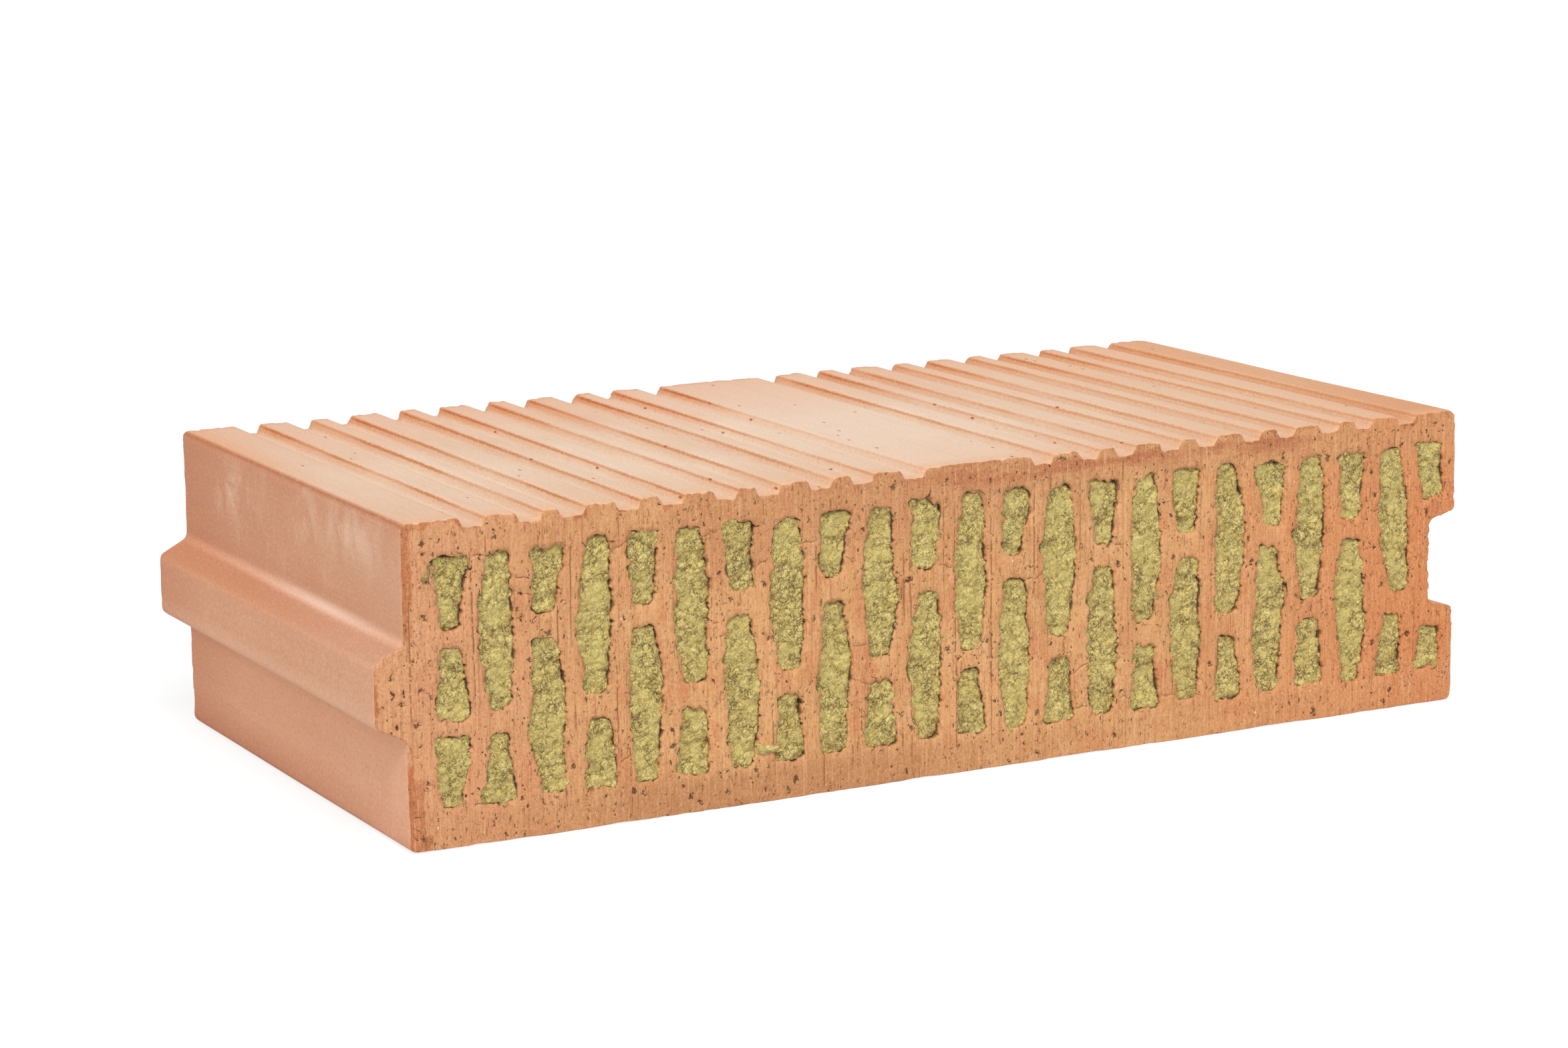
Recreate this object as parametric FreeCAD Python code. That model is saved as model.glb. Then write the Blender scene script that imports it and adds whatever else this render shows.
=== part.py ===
"""Hollow clay block with its cells packed with mineral wool, lying on its plain face.

The clay is one extrusion: an outline in the XZ plane, pierced by staggered cells and drawn out along Y.
X runs along the block from the tongue end to the groove end, Y along the extrusion between the two bed
faces, and Z up from the plain face to the combed face. The origin is the middle of the plain face.
All sizes are millimetres.
"""

import FreeCAD
import Part
import math
import os
from collections import namedtuple

# Overall size of the fired body, without the tongue
LENGTH = 497.0
BED_DEPTH = 249.0
THICKNESS = 130.0
EDGE_RADIUS = 3.0

# Shells of clay between the cells and the outside
COMBED_SHELL = 13.8
PLAIN_SHELL = 15.7
TONGUE_END_SHELL = 11.8
GROOVE_END_SHELL = 6.4
GROOVE_SHELL = 10.2

# Cells: short ones taper inwards from the shells, long ones swell between the short ones
NOMINAL_PITCH = 21.3
WEB = 9.0
CROSS_WEB = 9.3
SHORT_CELL_HEIGHT = 28.0
SHORT_CELL_WIDE = 15.0
SHORT_CELL_NARROW = 9.0
TONGUE_COLUMN_SPACING = 19.5
GROOVE_COLUMN_SPACING = 20.5
TONGUE_CELL_WEB = 6.5
GROOVE_CELL_WIDTH = 13.8
GROOVE_CELL_TAPER = 2.6
LAST_CELL_LEAN = 5.0
CELL_RADIUS = 1.8

# Tongue at one end, and the groove at the other that takes a neighbour's tongue
JOINT_LEVEL = 63.8
TONGUE_PROJECTION = 12.7
TONGUE_ROOT = 38.0
TONGUE_TIP = 25.6
TONGUE_RADIUS = 3.6
GROOVE_MOUTH_CLEARANCE = 2.5
GROOVE_FLOOR_CLEARANCE = 5.5
GROOVE_END_CLEARANCE = 0.4
GROOVE_RADIUS = 3.0

# Combed face: wide and narrow ridges in turn, on both sides of a smooth strip
TONGUE_END_LAND = 24.0
GROOVE_END_LAND = 20.7
STRIP_WIDTH = 50.3
STRIP_OFFSET = 7.0
RIDGE_WIDE = 12.2
RIDGE_NARROW = 7.2
NOMINAL_COMB_GAP = 11.2
COMB_DEPTH = 3.8
COMB_FLANK = 1.9
COMB_CREST_RADIUS = 1.4

# The wool stops short of both bed faces
WOOL_RECESS = 3.0

# Longest share of an outline's side that one corner's rounding may take, and the share of a long cell's
# side that bends into its belly
ROUNDING_SHARE = 0.45
BELLY_SHARE = 0.9

LEFT = -LENGTH / 2
RIGHT = LENGTH / 2
FRONT = -BED_DEPTH / 2
CELL_FLOOR = PLAIN_SHELL
CELL_ROOF = THICKNESS - COMBED_SHELL
GROOVE_MOUTH = TONGUE_ROOT + 2 * GROOVE_MOUTH_CLEARANCE
GROOVE_FLOOR = TONGUE_TIP + 2 * GROOVE_FLOOR_CLEARANCE
GROOVE_DEPTH = TONGUE_PROJECTION + GROOVE_END_CLEARANCE

Corner = namedtuple("Corner", "x z radius share", defaults=[ROUNDING_SHARE])


def corner_arcs(corners, y):
    """Start, middle and end of the tangent arc at each corner, at a depth y; a sharp corner's are one point."""
    points = [FreeCAD.Vector(corner.x, y, corner.z) for corner in corners]
    arcs = []
    for index, corner in enumerate(corners):
        point = points[index]
        back = points[index - 1] - point
        ahead = points[(index + 1) % len(points)] - point
        half_angle = back.getAngle(ahead) / 2
        longest = corner.share * min(back.Length, ahead.Length)
        setback = min(corner.radius / math.tan(half_angle), longest)
        back.normalize()
        ahead.normalize()
        inward = (back + ahead).normalize()
        reach = setback / math.cos(half_angle) - setback * math.tan(half_angle)
        arcs.append((point + back * setback, point + inward * reach, point + ahead * setback))
    return arcs


def rounded_wire(corners, y):
    """Closed wire through the corners at a depth y, with a tangent arc at each corner that has a radius."""
    arcs = corner_arcs(corners, y)
    edges = []
    for index, (start, middle, end) in enumerate(arcs):
        if corners[index].radius:
            edges.append(Part.Arc(start, middle, end).toShape())
        following = arcs[(index + 1) % len(arcs)][0]
        edges.append(Part.LineSegment(end, following).toShape())
    return Part.Wire(edges)


def blunted_wire(corners, y):
    """The same wire with straight facets in place of its arcs, one at a corner and two at a long cell's belly."""
    points = []
    for corner, (start, middle, end) in zip(corners, corner_arcs(corners, y)):
        points += [start, middle, end] if corner.share == BELLY_SHARE else [start, end]
    return Part.makePolygon(points + points[:1])


def comb_gaps(start, end):
    """The gaps (from x, to x) of one comb, which has a wide ridge at both ends and narrow ones between."""
    pair = RIDGE_WIDE + RIDGE_NARROW
    span = end - start - RIDGE_WIDE
    pairs = max(1, round((span - 2 * NOMINAL_COMB_GAP) / (pair + 2 * NOMINAL_COMB_GAP)))
    gap = (span - pairs * pair) / (2 * pairs + 2)
    gaps = []
    x = start
    for index in range(2 * pairs + 2):
        gaps.append((x, x + gap))
        ridge = RIDGE_WIDE if index % 2 == 0 else RIDGE_NARROW
        x += gap + ridge
    return gaps


def combed_face():
    """Corners of the combed face from the groove end to the tongue end."""
    strip_left = STRIP_OFFSET - STRIP_WIDTH / 2
    gaps = comb_gaps(LEFT + TONGUE_END_LAND, strip_left)
    gaps += comb_gaps(strip_left + STRIP_WIDTH, RIGHT - GROOVE_END_LAND)
    root = THICKNESS - COMB_DEPTH
    corners = []
    for low_x, high_x in reversed(gaps):
        corners.append(Corner(high_x, THICKNESS, COMB_CREST_RADIUS))
        corners.append(Corner(high_x - COMB_FLANK, root, 0))
        corners.append(Corner(low_x + COMB_FLANK, root, 0))
        corners.append(Corner(low_x, THICKNESS, COMB_CREST_RADIUS))
    return corners


def groove_end():
    """Corners of the groove in the end face, from the bottom up."""
    floor = RIGHT - GROOVE_DEPTH
    return [
        Corner(RIGHT, JOINT_LEVEL - GROOVE_MOUTH / 2, GROOVE_RADIUS),
        Corner(floor, JOINT_LEVEL - GROOVE_FLOOR / 2, GROOVE_RADIUS),
        Corner(floor, JOINT_LEVEL + GROOVE_FLOOR / 2, GROOVE_RADIUS),
        Corner(RIGHT, JOINT_LEVEL + GROOVE_MOUTH / 2, GROOVE_RADIUS),
    ]


def tongue_end():
    """Corners of the tongue on the other end face, from the top down."""
    tip = LEFT - TONGUE_PROJECTION
    return [
        Corner(LEFT, JOINT_LEVEL + TONGUE_ROOT / 2, TONGUE_RADIUS),
        Corner(tip, JOINT_LEVEL + TONGUE_TIP / 2, TONGUE_RADIUS),
        Corner(tip, JOINT_LEVEL - TONGUE_TIP / 2, TONGUE_RADIUS),
        Corner(LEFT, JOINT_LEVEL - TONGUE_ROOT / 2, TONGUE_RADIUS),
    ]


def body_outline():
    """Corners of the clay's outer outline, anticlockwise seen from the front."""
    outline = [Corner(LEFT, 0, EDGE_RADIUS), Corner(RIGHT, 0, EDGE_RADIUS)]
    outline += groove_end()
    outline.append(Corner(RIGHT, THICKNESS, EDGE_RADIUS))
    outline += combed_face()
    outline.append(Corner(LEFT, THICKNESS, EDGE_RADIUS))
    outline += tongue_end()
    return outline


def tapered_cell(x, low, high, low_width, high_width):
    """Corners of a short cell, wider at one end than at the other."""
    return [
        Corner(x - low_width / 2, low, CELL_RADIUS),
        Corner(x + low_width / 2, low, CELL_RADIUS),
        Corner(x + high_width / 2, high, CELL_RADIUS),
        Corner(x - high_width / 2, high, CELL_RADIUS),
    ]


def swelling_cell(x, low, high, end_width, belly_width, lean):
    """Corners of a long cell, narrow at both ends with sides that bend out to its belly half way up.

    The bend starts from straight sides that meet outside the belly. The lean moves the lower end along X.
    """
    middle = (low + high) / 2
    meeting = end_width / 2 + (belly_width - end_width) / 2 / (1 - BELLY_SHARE / 2)
    bend = math.inf
    return [
        Corner(x + lean - end_width / 2, low, CELL_RADIUS),
        Corner(x + lean + end_width / 2, low, CELL_RADIUS),
        Corner(x + meeting, middle, bend, BELLY_SHARE),
        Corner(x + end_width / 2, high, CELL_RADIUS),
        Corner(x - end_width / 2, high, CELL_RADIUS),
        Corner(x - meeting, middle, bend, BELLY_SHARE),
    ]


def field_columns():
    """The x of each evenly spaced column between the two end columns, an odd number of them."""
    first = LEFT + TONGUE_END_SHELL + SHORT_CELL_WIDE / 2 + TONGUE_COLUMN_SPACING
    last = RIGHT - GROOVE_END_SHELL - GROOVE_CELL_WIDTH / 2 - GROOVE_COLUMN_SPACING
    steps = 2 * max(1, round((last - first) / (2 * NOMINAL_PITCH)))
    pitch = (last - first) / steps
    return [first + pitch * step for step in range(steps + 1)], pitch


def field_cells(x, pitch, long_on_top, lean):
    """One long and one short cell of a field column, with webs of even thickness to the next columns."""
    short_split = CELL_FLOOR + SHORT_CELL_HEIGHT
    long_split = CELL_ROOF - SHORT_CELL_HEIGHT
    end_width = 2 * (pitch - WEB) - SHORT_CELL_WIDE
    belly_width = 2 * (pitch - WEB) - SHORT_CELL_NARROW
    if long_on_top:
        top = swelling_cell(x, short_split + CROSS_WEB, CELL_ROOF, end_width, belly_width, lean)
        bottom = tapered_cell(x, CELL_FLOOR, short_split, SHORT_CELL_WIDE, SHORT_CELL_NARROW)
    else:
        top = tapered_cell(x, long_split, CELL_ROOF, SHORT_CELL_NARROW, SHORT_CELL_WIDE)
        bottom = swelling_cell(x, CELL_FLOOR, long_split - CROSS_WEB, end_width, belly_width, lean)
    return {"top": top, "bottom": bottom}


def tongue_end_cells():
    """Three short cells behind the tongue, turned in turn."""
    x = LEFT + TONGUE_END_SHELL + SHORT_CELL_WIDE / 2
    height = (CELL_ROOF - CELL_FLOOR - 2 * TONGUE_CELL_WEB) / 3
    cells = {}
    for index, place in enumerate(("bottom", "middle", "top")):
        low = CELL_FLOOR + index * (height + TONGUE_CELL_WEB)
        widths = (SHORT_CELL_NARROW, SHORT_CELL_WIDE)
        if place == "middle":
            widths = (SHORT_CELL_WIDE, SHORT_CELL_NARROW)
        cells[place] = tapered_cell(x, low, low + height, *widths)
    return cells


def groove_end_cells():
    """Two short cells above and below the groove, upright on the side of the end face."""
    outer = RIGHT - GROOVE_END_SHELL
    inner = outer - GROOVE_CELL_WIDTH
    upper = JOINT_LEVEL + GROOVE_FLOOR / 2 + GROOVE_SHELL
    lower = JOINT_LEVEL - GROOVE_FLOOR / 2 - GROOVE_SHELL
    top = [
        Corner(inner + GROOVE_CELL_TAPER, upper, CELL_RADIUS),
        Corner(outer, upper + GROOVE_CELL_TAPER, CELL_RADIUS),
        Corner(outer, CELL_ROOF, CELL_RADIUS),
        Corner(inner, CELL_ROOF, CELL_RADIUS),
    ]
    bottom = [
        Corner(inner, CELL_FLOOR, CELL_RADIUS),
        Corner(outer, CELL_FLOOR, CELL_RADIUS),
        Corner(outer, lower - GROOVE_CELL_TAPER, CELL_RADIUS),
        Corner(inner + GROOVE_CELL_TAPER, lower, CELL_RADIUS),
    ]
    return {"top": top, "bottom": bottom}


def all_cells():
    """Every cell's corners by name, counted in columns from the tongue end."""
    columns, pitch = field_columns()
    layout = [tongue_end_cells()]
    for step, x in enumerate(columns):
        lean = LAST_CELL_LEAN if x == columns[-1] else 0.0
        layout.append(field_cells(x, pitch, long_on_top=step % 2 == 0, lean=lean))
    layout.append(groove_end_cells())
    cells = {}
    for number, column in enumerate(layout, start=1):
        for place, corners in column.items():
            cells[f"{number:02d}_{place}"] = corners
    return cells


def clay_block(cells):
    """The fired body: its outline with every cell open, drawn out between the bed faces."""
    wires = [rounded_wire(body_outline(), FRONT)]
    wires += [rounded_wire(corners, FRONT) for corners in cells.values()]
    section = Part.makeFace(wires, "Part::FaceMakerBullseye")
    return section.extrude(FreeCAD.Vector(0, BED_DEPTH, 0))


def wool_plug(corners):
    """The wool packed in one cell: it lies against the walls and stays out of the cell's rounded corners."""
    section = Part.Face(blunted_wire(corners, FRONT + WOOL_RECESS))
    return section.extrude(FreeCAD.Vector(0, BED_DEPTH - 2 * WOOL_RECESS, 0))


def main():
    os.makedirs("parts", exist_ok=True)
    cells = all_cells()
    clay_block(cells).exportStep("parts/clay_block.step")
    for name, corners in cells.items():
        wool_plug(corners).exportStep(f"parts/wool_plug_{name}.step")


main()
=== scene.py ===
"""Looks of the hollow clay block: torn cut faces, combed skin, loose wool in the cells, and a pale studio."""

import math

import bpy
import numpy as np
from mathutils import Matrix, Vector
from mathutils.geometry import delaunay_2d_cdt
from mathutils.kdtree import KDTree


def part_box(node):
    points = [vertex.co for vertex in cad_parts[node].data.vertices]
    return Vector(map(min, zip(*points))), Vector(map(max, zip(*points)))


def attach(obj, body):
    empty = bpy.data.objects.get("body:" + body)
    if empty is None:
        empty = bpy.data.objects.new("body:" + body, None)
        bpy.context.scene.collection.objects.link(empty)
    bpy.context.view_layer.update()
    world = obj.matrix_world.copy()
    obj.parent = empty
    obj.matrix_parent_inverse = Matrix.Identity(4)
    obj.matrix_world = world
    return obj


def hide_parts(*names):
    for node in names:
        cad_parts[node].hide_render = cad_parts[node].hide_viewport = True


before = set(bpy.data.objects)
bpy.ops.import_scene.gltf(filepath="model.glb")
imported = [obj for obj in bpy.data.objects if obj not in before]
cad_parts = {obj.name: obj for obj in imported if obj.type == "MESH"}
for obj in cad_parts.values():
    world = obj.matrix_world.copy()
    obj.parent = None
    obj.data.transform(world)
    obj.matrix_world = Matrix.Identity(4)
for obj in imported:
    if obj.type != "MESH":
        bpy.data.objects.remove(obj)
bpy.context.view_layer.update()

MM = 0.001
CUT, SKIN = 0, 1
LOW, HIGH = (np.array(corner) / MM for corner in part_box("clay_block"))
DEPTH = HIGH[1] - LOW[1]
COMB_TOP = HIGH[2]
COMB_FOOT = COMB_TOP - 6
END = -HIGH[0]

# The photograph's size in pixels, and its camera, solved from the block's corners (mm)
PHOTO_WIDE, PHOTO_HIGH = 2347, 1568
LENS, SENSOR = 90.055, 36
EYE = np.array((-798.21, -1485.25, 415.14))
RIGHT = np.array((0.88423, -0.46688, -0.01291))
DOWN = np.array((-0.10118, -0.1645, -0.98117))
FORWARD = np.array((0.45597, 0.86889, -0.19269))

# The longest scratches on the near cut face: pixel column, and the rows of the upper and lower end
SCRATCH_PIXELS = (
    (613.6, 878, 1098), (708, 817, 1064), (837, 895, 996), (848, 1145, 1196), (855, 794, 942),
    (943, 1098, 1175), (1157, 1030, 1071), (1221, 800, 885), (1234, 1127, 1179), (1276.6, 1103, 1146),
    (1291, 1057, 1115), (1353, 824, 931), (1364, 800, 1163),
)

# Four more: place along the block, lower and upper end (mm)
MORE_SCRATCHES = ((-5, 5, 118), (12, 5, 117), (33, 70, 117), (41, 108, 122))

# The largest chips there: the pixel that shows each one, and its reach (mm)
CHIP_PIXELS = (
    (632, 815, 2.0), (633, 829, 1.4), (634, 924, 2.4), (605, 1040, 1.9), (603, 1052, 1.6), (629, 1034, 1.5),
    (631, 1118, 1.3), (642, 1173, 1.2), (733, 1207, 1.4), (722, 1205, 1.4), (780, 925, 1.5), (776, 915, 1.5),
    (794, 987, 1.3), (893, 1044, 1.6), (880, 1047, 1.8), (859, 1146, 1.3), (950, 1183, 2.2), (930, 1135, 1.6),
    (814, 1200, 1.4), (1035, 1193, 2.0), (1049, 1201, 1.8), (1192, 1168, 2.3), (1181, 1182, 1.9),
    (1089, 1185, 1.6), (1132, 1152, 1.6), (1219, 925, 2.2), (1230, 901, 1.6), (1151, 956, 1.5),
)

# How far (mm) some chips are moved along and up the face
CHIP_NUDGES = {
    (633, 829): (0, -0.2), (605, 1040): (0, 0.5), (603, 1052): (-0.2, -0.8), (780, 925): (0, -0.5),
    (776, 915): (-0.4, 0.7), (893, 1044): (0.2, 0.2), (880, 1047): (-0.2, -0.2), (950, 1183): (0, -0.2),
    (1192, 1168): (0, 0.3), (1181, 1182): (0, 0.2),
}

# Rings of a torn pit: share of its reach, number of points, share of its depth, darkness
GOUGE_RINGS = ((1.0, 12, 0.0, 0.0), (0.62, 8, 0.8, 0.9), (0.0, 1, 1.0, 1.0))
DASH_RINGS = ((1.0, 8, 0.0, 0.0), (0.5, 2, 1.0, 1.0))

# The near and the far cut face: level of the rings, spacing (mm), tears, drag lines, cracks and seed
CUT_FACES = ((0, 1.75, 800, 60, 22, 5), (-1, 3.4, 0, 0, 0, 6))

# Shreds of wool on the near cut face: name, start and end (mm), width and how dim
WISPS = (
    ("wool_wisp_low", (-98, 22.5), (-87, 21), 5.0, 0.0),
    ("wool_wisp_high", (104, 98), (109, 97), 2.4, 0.0),
    ("wool_wisp_left", (-239.9, 106), (-236.4, 113.8), 2.6, 0.9),
)


def on_cut_face(across, down):
    """Place along the block and height (mm) on the near cut face of what a pixel shows."""
    focus = LENS / SENSOR * PHOTO_WIDE
    ray = FORWARD + (RIGHT * (across - PHOTO_WIDE / 2) + DOWN * (down - PHOTO_HIGH / 2)) / focus
    return (EYE + ray * (LOW[1] - EYE[1]) / ray[1])[[0, 2]]


# Repeatable noise


def hashed(i, j, seed):
    """Repeatable numbers from 0 to 1, one for each whole-number lattice point."""
    n = i.astype(np.int64) * 374761393 + j.astype(np.int64) * 668265263 + seed * 1442695041
    n = (n ^ (n >> 13)) * 1274126177
    n = n ^ (n >> 16)
    return (n & 0xFFFFFF) / 0xFFFFFF


def noise(u, v, seed):
    """Smooth noise from -1 to 1 with features about one unit across."""
    u, v = np.broadcast_arrays(np.asarray(u, float), np.asarray(v, float))
    i, j = np.floor(u), np.floor(v)
    a, b = u - i, v - j
    a, b = a * a * (3 - 2 * a), b * b * (3 - 2 * b)
    low = hashed(i, j, seed) * (1 - a) + hashed(i + 1, j, seed) * a
    high = hashed(i, j + 1, seed) * (1 - a) + hashed(i + 1, j + 1, seed) * a
    return 2 * (low * (1 - b) + high * b) - 1


def fractal(u, v, seed, octaves=3):
    """Noise with finer and weaker copies of itself added."""
    total = 0
    for k in range(octaves):
        total = total + noise(u * 2**k, v * 2**k, seed + 17 * k) / 2**k
    return total


def flocks(u, v, seed):
    """Height from 0 to 1 of overlapping round lumps, about one to each unit square."""
    i, j = np.floor(u), np.floor(v)
    best = np.zeros(np.shape(u))
    for di in (-1, 0, 1):
        for dj in (-1, 0, 1):
            a, b = i + di, j + dj
            du = u - a - 0.1 - 0.8 * hashed(a, b, seed)
            dv = v - b - 0.1 - 0.8 * hashed(a, b, seed + 1)
            turn = math.pi * hashed(a, b, seed + 2)
            along = du * np.cos(turn) + dv * np.sin(turn)
            across = dv * np.cos(turn) - du * np.sin(turn)
            radius = 0.6 + 0.4 * hashed(a, b, seed + 3)
            slim = 0.65 + 0.35 * hashed(a, b, seed + 4)
            q = (along / radius) ** 2 + (across / (radius * slim)) ** 2
            top = 0.5 + 0.5 * hashed(a, b, seed + 5)
            best = np.maximum(best, top * np.sqrt(np.clip(1 - q, 0, 1)))
    return best


# Outlines of the cut face, read from the CAD clay, in millimetres


def cut_loops(clay):
    """Closed outlines (x, z) of the clay's front face, the outer one first, all anticlockwise."""
    mesh = clay.data
    mesh.calc_loop_triangles()
    points = np.empty(3 * len(mesh.vertices))
    mesh.vertices.foreach_get("co", points)
    points = points.reshape(-1, 3) / MM
    corners = np.empty(3 * len(mesh.loop_triangles), np.int32)
    mesh.loop_triangles.foreach_get("vertices", corners)
    corners = corners.reshape(-1, 3)
    front = points[:, 1] < points[:, 1].min() + 0.001
    corners = corners[front[corners].all(1)]
    flat = np.round(points[:, [0, 2]] * 1000)
    _, first, same = np.unique(flat, axis=0, return_index=True, return_inverse=True)
    same = same.ravel()
    sides = {(a, b) for t in same[corners].tolist() for a, b in zip(t, t[1:] + t[:1])}
    ahead = {a: b for a, b in sides if (b, a) not in sides}
    loops = []
    while ahead:
        start, at = ahead.popitem()
        chain = [start]
        while at != start:
            chain.append(at)
            at = ahead.pop(at)
        loop = points[first[chain]][:, [0, 2]]
        loops.append(loop if signed_area(loop) > 0 else loop[::-1])
    return sorted(loops, key=signed_area, reverse=True)


def signed_area(loop):
    x, z = loop.T
    return 0.5 * np.sum(x * np.roll(z, -1) - np.roll(x, -1) * z)


def resampled(loop, spacing):
    """The loop with points about a spacing apart, its sharp corners kept."""
    ahead = np.roll(loop, -1, axis=0) - loop
    heading = np.arctan2(ahead[:, 1], ahead[:, 0])
    turn = np.abs((heading - np.roll(heading, 1) + math.pi) % (2 * math.pi) - math.pi)
    corners = np.flatnonzero(turn > 0.5).tolist() or [0]
    pieces = []
    for start, end in zip(corners, corners[1:] + [corners[0] + len(loop)]):
        line = loop[np.arange(start, end + 1) % len(loop)]
        along = np.r_[0, np.cumsum(np.linalg.norm(np.diff(line, axis=0), axis=1))]
        at = np.linspace(0, along[-1], max(1, round(along[-1] / spacing)), endpoint=False)
        pieces.append(np.c_[np.interp(at, along, line[:, 0]), np.interp(at, along, line[:, 1])])
    return np.vstack(pieces)


def eased(loop, passes):
    """The loop with its corners rounded a little."""
    for _ in range(passes):
        loop = 0.5 * loop + 0.25 * (np.roll(loop, 1, axis=0) + np.roll(loop, -1, axis=0))
    return loop


def flexed(loop):
    """A cell's outline as the soft clay let it shift, by about a millimetre."""
    x, z = loop.T
    shift = np.c_[1.3 * noise(x / 27, z / 19, 61), 1.6 * noise(x / 12, z / 30, 62)]
    return loop - 0.1 * outward(loop) + shift


def outward(loop):
    """Unit normals of an anticlockwise loop, pointing out of it."""
    tangent = np.roll(loop, -1, axis=0) - np.roll(loop, 1, axis=0)
    tangent /= np.linalg.norm(tangent, axis=1)[:, None]
    return np.c_[tangent[:, 1], -tangent[:, 0]]


def travelled(loop):
    """Distance along the loop at each of its points."""
    step = np.linalg.norm(np.roll(loop, -1, axis=0) - loop, axis=1)
    return np.r_[0, np.cumsum(step)[:-1]]


def inside(points, loop):
    """True for each point inside the loop."""
    result = np.zeros(len(points), bool)
    near = np.flatnonzero(((points >= loop.min(0)) & (points <= loop.max(0))).all(1))
    ax, az = loop.T
    bx, bz = np.roll(loop, -1, axis=0).T
    for part in np.array_split(near, len(near) * len(loop) // 4_000_000 + 1):
        x, z = points[part, 0, None], points[part, 1, None]
        straddles = (az > z) != (bz > z)
        crossing = ax + (z - az) / np.where(bz == az, 1, bz - az) * (bx - ax)
        result[part] = (straddles & (x < crossing)).sum(1) % 2 == 1
    return result


def tree_of(points):
    tree = KDTree(len(points))
    for index, (x, z) in enumerate(points):
        tree.insert((x, z, 0), index)
    tree.balance()
    return tree


def gap_to(points, tree):
    """Distance from each point to the nearest one in the tree."""
    return np.array([tree.find((x, z, 0))[2] for x, z in points])


def nearest(points, tree):
    """Number of the tree's point nearest to each point."""
    return np.array([tree.find((x, z, 0))[1] for x, z in points])


def hex_grid(low, high, spacing, rng):
    """Jittered points on a triangular grid."""
    rows = np.arange(low[1], high[1], spacing * 0.866)
    columns = np.arange(low[0], high[0], spacing)
    x, z = np.meshgrid(columns, rows)
    x[1::2] += spacing / 2
    grid = np.c_[x.ravel(), z.ravel()]
    return grid + rng.uniform(-0.28, 0.28, grid.shape) * spacing


def triangulated(rings, free):
    """Triangles over the area inside the first ring and outside the others, through all points."""
    points = np.vstack(rings + [free])
    owner = np.concatenate([np.full(len(r), k) for k, r in enumerate(rings)] + [np.full(len(free), -1)])
    edges = []
    start = 0
    for ring in rings:
        index = np.arange(start, start + len(ring))
        edges += np.c_[index, np.roll(index, -1)].tolist()
        start += len(ring)
    _, _, faces, origin, _, _ = delaunay_2d_cdt([Vector(p) for p in points], edges, [], 0, 1e-7, True)
    faces = np.array([f for f in faces if all(origin[v] for v in f)])
    faces = np.array([o[0] if o else -1 for o in origin])[faces]
    kept = np.ones(len(faces), bool)
    alike = (owner[faces] == owner[faces[:, :1]]).all(1)
    middle = points[faces].mean(1)
    for k, ring in enumerate(rings):
        doubtful = np.flatnonzero(alike & (owner[faces[:, 0]] == k))
        within = inside(middle[doubtful], ring)
        kept[doubtful] = within if k == 0 else ~within
    return points, faces[kept]


# The clay


def ragged(loop, seed, rng):
    """How far a cell's torn rim stands off its clean outline, out of the cell where positive."""
    s = travelled(loop)
    total = s[-1] + np.linalg.norm(loop[0] - loop[-1])
    reach = 0.55 * noise(s / 9.0, seed, 3) + 0.75 * noise(s / 3.4, seed, 5) + 0.7 * noise(s / 1.6, seed, 7)
    bites = []
    for _ in range(rng.integers(3, 7)):
        width = rng.uniform(1.2, 3.4)
        bites.append((width, rng.choice([1.0, 1.0, -1.0]) * rng.uniform(0.5, 1.5)))
    bites += [(rng.uniform(2.5, 5.0), rng.uniform(1.4, 2.6))] * (rng.random() < 0.45)
    for width, size in bites:
        away = np.abs((s - rng.uniform(0, total) + total / 2) % total - total / 2)
        reach = reach + size * np.clip(1 - (away / width) ** 2, 0, 1)
    normal = outward(loop)
    reach = reach + rng.normal(0, 0.32, len(loop)) * (1 + np.clip(1.2 * normal[:, 0], 0, 1))
    # burrs stay short in the corners, where the rim would cross itself
    bend = np.linalg.norm(np.roll(normal, -2, axis=0) - np.roll(normal, 2, axis=0), axis=1)
    return np.clip(reach, np.where(bend > 0.5, -0.25, -1.5), 2.8)


def clay_relief(x, z, seed):
    """How far the cut face lies behind its plane."""
    wave = 0.22 + 0.22 * fractal(x / 38, z / 38, seed)
    rough = 0.10 * fractal(x / 2.6, z / 3.4, seed + 40, 2)
    drag = 0.07 * noise(x / 1.3, z / 26, seed + 60) + 0.06 * noise(x / 3.1, z / 45, seed + 61)
    return wave + rough + drag


def clear_clay(points, area):
    """True for each point on clay: inside the outer ring and in no cell."""
    fine = inside(points, area[0])
    for ring in area[1:]:
        fine &= ~inside(points, ring)
    return fine


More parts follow.
